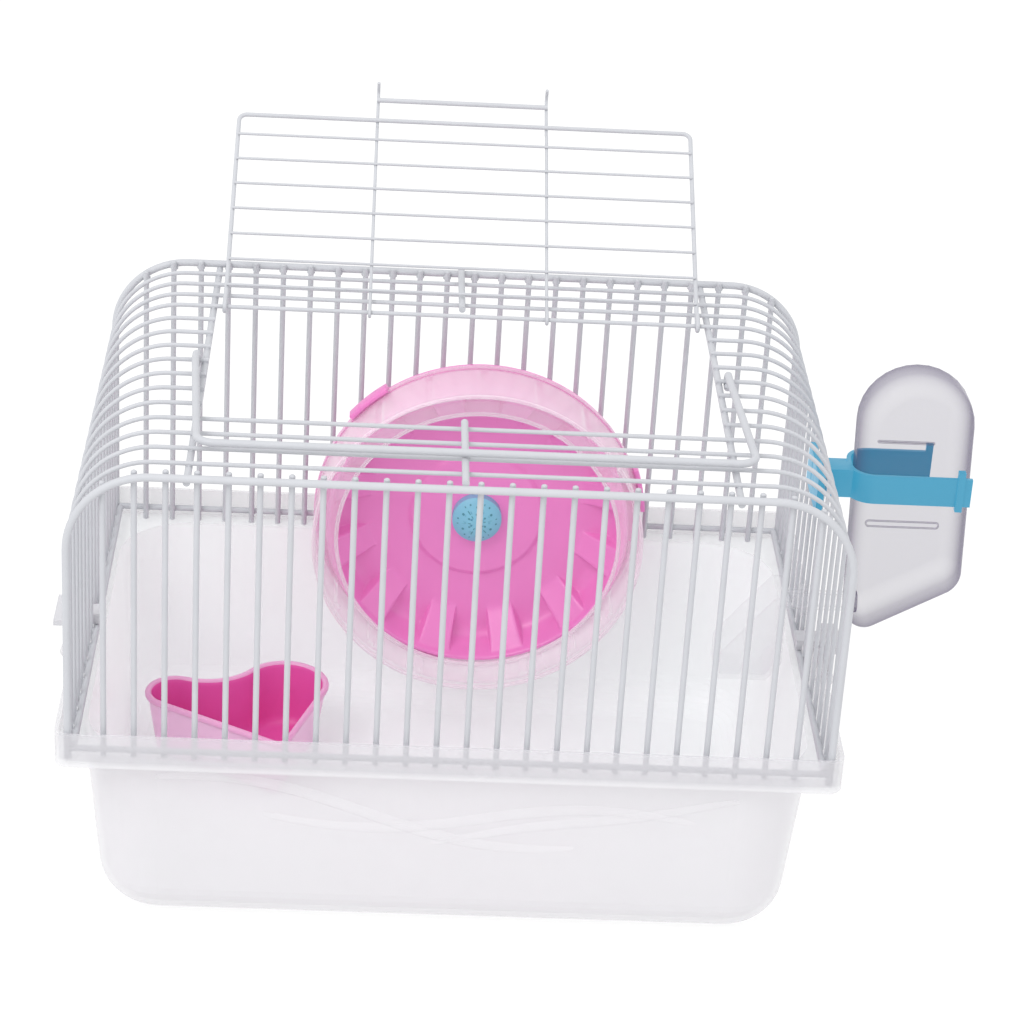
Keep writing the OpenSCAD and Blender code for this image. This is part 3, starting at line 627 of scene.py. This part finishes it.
def make_welds(material):
    """Coating that gathers at the welds of the wire top, and the rounded ends of its bars."""
    bm = bmesh.new()
    for bars, rail, side in (("front_bars", "front_bottom_wire", -1),
                             ("rear_bars", "rear_bottom_wire", 1)):
        low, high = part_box(bars)
        y = (low.y + high.y) / 2
        radius = (high.y - low.y) / 2
        rail_low, rail_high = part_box(rail)
        points = [v.co for v in nodes[bars].data.vertices]
        for x in centres(bars, 0):
            tip = max(p.z for p in points if abs(p.x - x) < 1.2 * radius)
            bead(bm, Vector((x, y, tip)), TIP_SIZE * radius, TIP_LUMPS)
            weld_y = y + side * radius * WELD_SIT
            bead(bm, Vector((x, weld_y, tip - WELD_DROP)), BAR_WELD, WELD_LUMPS)
            bead(bm, Vector((x, weld_y, (rail_low.z + rail_high.z) / 2)), RAIL_WELD, WELD_LUMPS)
    for side in ("left", "right"):
        low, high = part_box(side + "_border_wire")
        x = (low.x + high.x) / 2
        rail_low, rail_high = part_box(side + "_bottom_wire")
        rail_x, rail_z = (rail_low.x + rail_high.x) / 2, (rail_low.z + rail_high.z) / 2
        out = RAIL_SIDE if side == "right" else -RAIL_SIDE
        for node in ("front_arch_wires", "rear_arch_wires", side + "_side_wires"):
            for y in centres(node, 1):
                bead(bm, Vector((x, y, high.z)), BORDER_WELD, WELD_LUMPS)
                bead(bm, Vector((rail_x + out, y, rail_z)), SIDE_WELD, WELD_LUMPS)
    mesh = finish_mesh("wire_top_welds", bm)
    new_piece("wire_top_welds", mesh, (material,), "wire_top", "wire_white", angle=80)


# ---------------------------------------------------------------- tray waves

TRAY_TAPER = math.radians(5.5)
# How far the rim stands out past the wall, and the height where the wall meets it
RIM_OVERHANG = 6.3 * MM
WALL_TOP_Z = 69 * MM
# Waves in millimetres: start x, end x, start z, end z, swing, width, height
WAVES = [
    (-98, 44, 62, 38, 3.0, 5.0, 0.26),
    (-62, 84, 48, 50, -4.5, 4.6, 0.24),
    (-6, 98, 38, 60, 3.0, 4.2, 0.22),
]
WAVE_STEPS = 60
# A wave's edges lie this deep in the wall, and its ends narrow to this share of its width
WAVE_SUNK = 0.08
WAVE_END_SHARE = 0.35
# Round a wave's cross-section: place across it, from -1 to 1, and depth below its surface
WAVE_SECTION = [(k / 3 - 1, 0) for k in range(7)] + [(1, 0.4), (-1, 0.4)]


def make_waves(material):
    """Low moulded waves that cross the tray's front wall and fade out at both ends."""
    rim_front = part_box("base_tray")[0].y
    wall_foot = rim_front + RIM_OVERHANG + WALL_TOP_Z * math.tan(TRAY_TAPER)
    bm = bmesh.new()
    for x0, x1, z0, z1, swing, width, height in WAVES:
        rings = []
        for s in range(WAVE_STEPS + 1):
            t = s / WAVE_STEPS
            x = x0 + (x1 - x0) * t
            z = z0 + (z1 - z0) * (t * t * (3 - 2 * t)) + swing * math.sin(math.tau * t)
            fade = math.sin(math.pi * t) ** 0.5
            half = width / 2 * (WAVE_END_SHARE + (1 - WAVE_END_SHARE) * fade)
            ring = []
            for across, depth in WAVE_SECTION:
                rise = height * fade * (1 - across * across) - WAVE_SUNK - depth
                level = (z + across * half) * MM
                y = wall_foot - level * math.tan(TRAY_TAPER) - rise * MM
                ring.append((x * MM, y, level))
            rings.append(ring)
        skin(bm, rings)
    mesh = finish_mesh("tray_waves", bm)
    new_piece("tray_waves", mesh, (material,), "base", "frosted_tray", angle=80)


# ---------------------------------------------------------------- wheel dish

# Profiles of the dish: radius and height above its back face, in millimetres
DISH_CENTRE = [(2.7, 4.8), (7.3, 4.8), (7.9, 4.5), (8.4, 3.7), (9.2, 3.25), (16, 3.2), (23.4, 3.2),
               (24.2, 3.05), (24.8, 2.5), (25.4, 1.9), (26.4, 1.7)]
DISH_FLOOR = [(32, 1.7), (38, 1.7), (40, 1.7), (41, 1.7), (42.5, 1.7), (44, 1.7), (46, 1.75),
              (47.5, 1.85), (49, 2.1), (50.2, 2.7), (51.2, 3.5), (52, 4.8), (52.7, 6.8),
              (53.3, 9.2), (53.8, 11.4), (54.2, 13.2)]
DISH_LIP = [(54.5, 14.3), (54.9, 14.85), (55.4, 15.0), (55.9, 14.8), (56.2, 14.2)]
DISH_BACK = [(55.5, 4.0), (55.45, 2.6), (55.7, 1.95), (56.4, 1.7), (60.2, 1.7), (60.8, 1.45),
             (61.0, 0.9), (60.8, 0.3), (60.2, 0.0), (45, 0.0), (20, 0.0), (2.7, 0.0)]
TREADS = 12
# A tread's top starts at this radius and height, in millimetres, and climbs at this slope
TREAD_FOOT_R = 40.0
TREAD_FOOT = 1.3
TREAD_SLOPE = 0.81
# Half a tread's angle and the angle over which its side falls, in degrees
TREAD_EDGE = 6.8
TREAD_BLEND = 0.9
# Degrees from the middle of a tread where the mesh has a spoke
TREAD_SPOKES = (-15, -12.5, -10, -8, -7.5, -7.1, -6.8, -6.5, -6.1, -5, -2.5,
                0, 2.5, 5, 6.1, 6.5, 6.8, 7.1, 7.5, 8, 10, 12.5)
# Three tabs that clip the ring to the dish: their angles, half their angle, their section
TAB_ANGLES = (-13, -133, -253)
TAB_HALF = 8
TAB_STEPS = 10
TAB_PROFILE = [(60.2, 0.2), (60.4, 0.0), (62.3, 0.0), (62.75, 0.2), (62.93, 0.6), (62.93, 5.3),
               (62.7, 5.7), (62.3, 5.8), (61.5, 5.75), (61.36, 5.4), (61.36, 1.6), (60.2, 1.6)]


def tread_rise(r, height, offset):
    """Height of the dish's front at radius r, raised where a tread crosses it."""
    across = (TREAD_EDGE + TREAD_BLEND / 2 - abs(offset)) / TREAD_BLEND
    across = max(0.0, min(1.0, across))
    across = across * across * (3 - 2 * across)
    ramp = TREAD_FOOT + TREAD_SLOPE * (r - TREAD_FOOT_R)
    return height + across * max(0.0, ramp - height)


def make_dish(material):
    """Pink dish of the wheel: stepped centre, broad treads up its wall, flange and tabs."""
    cap_low, cap_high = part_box("hub_cap")
    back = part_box("wheel_dish")[1].y
    hub_x, hub_z = (cap_low.x + cap_high.x) / 2, (cap_low.z + cap_high.z) / 2

    def place(r, height, degrees):
        """A point from its radius, height over the back face and angle."""
        turn = math.radians(degrees)
        return Vector((hub_x + r * MM * math.cos(turn), back - height * MM,
                       hub_z - r * MM * math.sin(turn)))

    bm = bmesh.new()
    columns = []
    for i in range(TREADS):
        for offset in TREAD_SPOKES:
            degrees = (i + 0.5) * 360 / TREADS + offset
            floor = [(r, tread_rise(r, h, offset)) for r, h in DISH_FLOOR]
            line = DISH_CENTRE + floor + DISH_LIP + DISH_BACK
            columns.append([place(r, h, degrees) for r, h in line])
    skin_loop(bm, columns)
    for angle in TAB_ANGLES:
        spokes = [angle - TAB_HALF + 2 * TAB_HALF * k / TAB_STEPS for k in range(TAB_STEPS + 1)]
        skin(bm, [[place(r, h, degrees) for r, h in TAB_PROFILE] for degrees in spokes])
    mesh = finish_mesh("dish_moulding", bm)
    new_piece("dish_moulding", mesh, (material,), "wheel", "pink_plastic", "wheel_dish", angle=50)


# ---------------------------------------------------------------- clear ring

# Rounded edges of the ring: radius, depth behind its front and half thickness, in millimetres
RING_EDGES = [(60.35, 0.80, 0.75), (52.05, 4.10, 0.75)]
RING_TURNS = 160
RING_SIDES = 10


def make_ring_edges(material):
    """The thick rounded edges that make a clear drum's outline show."""
    low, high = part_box("wheel_ring")
    centre = Vector(((low.x + high.x) / 2, low.y, (low.z + high.z) / 2))
    bm = bmesh.new()
    for radius, depth, thick in RING_EDGES:
        hoops = []
        for i in range(RING_TURNS):
            turn = math.tau * i / RING_TURNS
            out = Vector((math.cos(turn), 0, math.sin(turn)))
            hoop = []
            for k in range(RING_SIDES):
                roll = math.tau * k / RING_SIDES
                reach = (radius + thick * math.cos(roll)) * MM
                back = (depth + thick * math.sin(roll)) * MM
                hoop.append(centre + out * reach + Vector((0, back, 0)))
            hoops.append(hoop)
        skin_loop(bm, hoops)
    mesh = finish_mesh("ring_edges", bm)
    new_piece("ring_edges", mesh, (material,), "wheel", "clear_plastic", angle=80)


# ---------------------------------------------------------------- hub cap

CAP_DOME_R = 16 * MM
CAP_SLOTS = 6
# The first slot's place, as a share of the angle between slots
CAP_SHIFT = 0.15
# A slot's inner and outer radius and half its width
SLOT_NEAR, SLOT_FAR, SLOT_HALF = 2.4 * MM, 7.6 * MM, 0.2 * MM
# Dots beside each slot: radius, share of the angle to the next slot, size, in millimetres
CAP_DOTS = [(3.4, 0.42, 0.42), (6.0, 0.36, 0.5), (7.2, 0.72, 0.36)]
DOT_SIDES = 12
# Depth of a plate's back and of its front under the dome; the front stands proud
SHADE_PLATE_SPAN = (0.15 * MM, -0.05 * MM)


def make_cap_slot_shade(material):
    """Painted shade on the hub cap: thin dark plates over its short cut spokes and the dots between
    them, for the shadow in the cuts.
    """
    low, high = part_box("hub_cap")
    centre = Vector(((low.x + high.x) / 2, low.y, (low.z + high.z) / 2))
    bm = bmesh.new()

    def patch(points):
        """A thin plate that follows the dome."""
        rings = []
        for depth in SHADE_PLATE_SPAN:
            ring = []
            for px, pz in points:
                drop = CAP_DOME_R - math.sqrt(CAP_DOME_R**2 - px * px - pz * pz)
                ring.append((centre.x + px, centre.y + drop + depth, centre.z + pz))
            rings.append(ring)
        skin(bm, rings)

    for i in range(CAP_SLOTS):
        turn = math.tau * (i + CAP_SHIFT) / CAP_SLOTS
        c, s = math.cos(turn), math.sin(turn)
        along = (SLOT_NEAR, (SLOT_NEAR + SLOT_FAR) / 2, SLOT_FAR)
        corners = [(a, -SLOT_HALF) for a in along] + [(a, SLOT_HALF) for a in reversed(along)]
        patch([(a * c - b * s, a * s + b * c) for a, b in corners])
        for radius, shift, size in CAP_DOTS:
            at = math.tau * (i + CAP_SHIFT + shift) / CAP_SLOTS
            px, pz = radius * MM * math.cos(at), radius * MM * math.sin(at)
            patch([(px + size * MM * math.cos(a), pz + size * MM * math.sin(a))
                   for a in (math.tau * k / DOT_SIDES for k in range(DOT_SIDES))])
    mesh = finish_mesh("cap_slot_shade", bm)
    new_piece("cap_slot_shade", mesh, (material,), "wheel", "blue_plastic")


# ---------------------------------------------------------------- assembly

WHITE_WIRES = [n for n in nodes if n.endswith(("_wire", "_wires", "_bars", "_bar", "_stiffener"))]
WHITE_WIRES.append("carry_handle")
# The tray's moulding is thinner, and lets more light through, above its ledge
LEDGE_Z = 70.6 * MM
EDGE_ROUNDING = 0.35 * MM

wire_white = surface("white_dipped_wire", (0.52, 0.53, 0.56), 0.5, tone=0.05, tone_scale=90,
                     grain=0.12, grain_scale=700, specular=0.35)
# Painted light: the inside tone and the glow of 0.04 brighten the tray's inner faces
tray_frosted_painted_inside_light = frosted("frosted_tray", (0.765, 0.75, 0.775), (0.84, 0.865, 0.875),
                       (0.70, 0.69, 0.72), LEDGE_Z, 0.50, 0.36, 0.04)
# Painted highlight: the waves get a paler tone than the tray, for light caught on the raised ridges
tray_wave = see_through(
    surface("tray_wave", (0.93, 0.92, 0.94), 0.42, tone=0.012, tone_scale=25,
            grain=0.05, grain_scale=1400), 0.22, 0.22)
latch_frosted = see_through(
    surface("frosted_latch", (0.66, 0.66, 0.69), 0.4, tone=0.012, tone_scale=40,
            grain=0.05, grain_scale=1400), 0.75, 0.95)
# Painted light: the pink glow flattens the shading of the dish and the wheel bracket
pink_painted_glow = add_painted_glow(
    surface("pink_moulding_painted_glow", (0.66, 0.19, 0.46), 0.34, tone=0.06, tone_scale=35,
            grain=0.03, grain_scale=800, subsurface=0.15), (0.80, 0.20, 0.55), 0.16)
# The bowl is one pink plastic: the inside has its deep pink; the paler lip and outside tones are
# painted light
bowl_inside = surface("bowl_inside", (0.76, 0.105, 0.42), 0.4, tone=0.05, tone_scale=45,
                      grain=0.03, grain_scale=800, subsurface=0.1)
bowl_lip = surface("bowl_lip", (0.76, 0.36, 0.59), 0.35, tone=0.04, tone_scale=60,
                   grain=0.02, grain_scale=800, subsurface=0.2)
bowl_outside_painted_light = surface("bowl_outside_painted_light", (0.84, 0.50, 0.71), 0.4, tone=0.04, tone_scale=45,
                       grain=0.03, grain_scale=800, subsurface=0.2)
# Painted light: the clip glows so its rear arm, shaded behind the bottle, is as bright as its
# front; the base is darkened to leave room for the glow
blue_painted_glow = add_painted_glow(
    surface("blue_moulding_painted_glow", (0.03, 0.11, 0.16), 0.34, tone=0.05, tone_scale=70,
            grain=0.03, grain_scale=900, subsurface=0.1), (0.07, 0.62, 1.0), 0.35)
cap_blue = surface("cap_blue", (0.20, 0.48, 0.62), 0.36, tone=0.04, tone_scale=150,
                   grain=0.03, grain_scale=900, subsurface=0.1)
# Painted shade: dark teal plates stand for the shadow inside the cap's cut slots and dots
cap_painted_shade = surface("cap_slot_painted_shade", (0.07, 0.25, 0.32), 0.5, tone=0.05, tone_scale=300,
                   grain=0.02, grain_scale=2000)
clear_ring = see_through(
    surface("clear_ring", (0.93, 0.87, 0.91), 0.14, tone=0.02, tone_scale=30,
            grain=0.01, grain_scale=500, rough_spread=0.03), 0.12, 0.95, 0.16)
clear_edge = see_through(
    surface("clear_edge", (0.93, 0.80, 0.88), 0.14, tone=0.02, tone_scale=30,
            grain=0.01, grain_scale=500, rough_spread=0.03), 0.30, 0.9, 0.4)
clear_trough = see_through(
    surface("clear_trough", (0.70, 0.70, 0.73), 0.14, tone=0.02, tone_scale=30,
            grain=0.01, grain_scale=500, rough_spread=0.03), 0.07, 0.32)
clear_bottle = see_through(
    surface("clear_bottle", (0.085, 0.06, 0.15), 0.10, tone=0.03, tone_scale=30,
            grain=0.02, grain_scale=400, rough_spread=0.03, specular=0.2), 0.150, 1.0, 0.30)
steel = surface("turned_steel", (0.55, 0.55, 0.57), 0.32, tone=0.05, tone_scale=300,
                grain=0.05, grain_scale=2500, metallic=1.0)

paint(wire_white, *WHITE_WIRES)
paint(tray_frosted_painted_inside_light, "base_tray")
paint(latch_frosted, "left_latch", "right_latch")
paint(pink_painted_glow, "wheel_bracket", "bracket_clamp")
paint(blue_painted_glow, "bottle_clip", "clip_backplate")
paint(cap_blue, "hub_cap")
paint(clear_ring, "wheel_ring")
paint(clear_trough, "bottle_trough")
paint(steel, "wheel_axle", "axle_nut")
smooth(*nodes)
soften(EDGE_ROUNDING, "bottle_clip", "clip_backplate", "left_latch", "right_latch",
       "wheel_bracket", "bracket_clamp")

make_bowl(bowl_inside, bowl_lip, bowl_outside_painted_light)
make_bottle(clear_bottle)
make_welds(wire_white)
make_waves(tray_wave)
make_dish(pink_painted_glow)
make_ring_edges(clear_edge)
make_cap_slot_shade(cap_painted_shade)

make_camera()
make_studio()
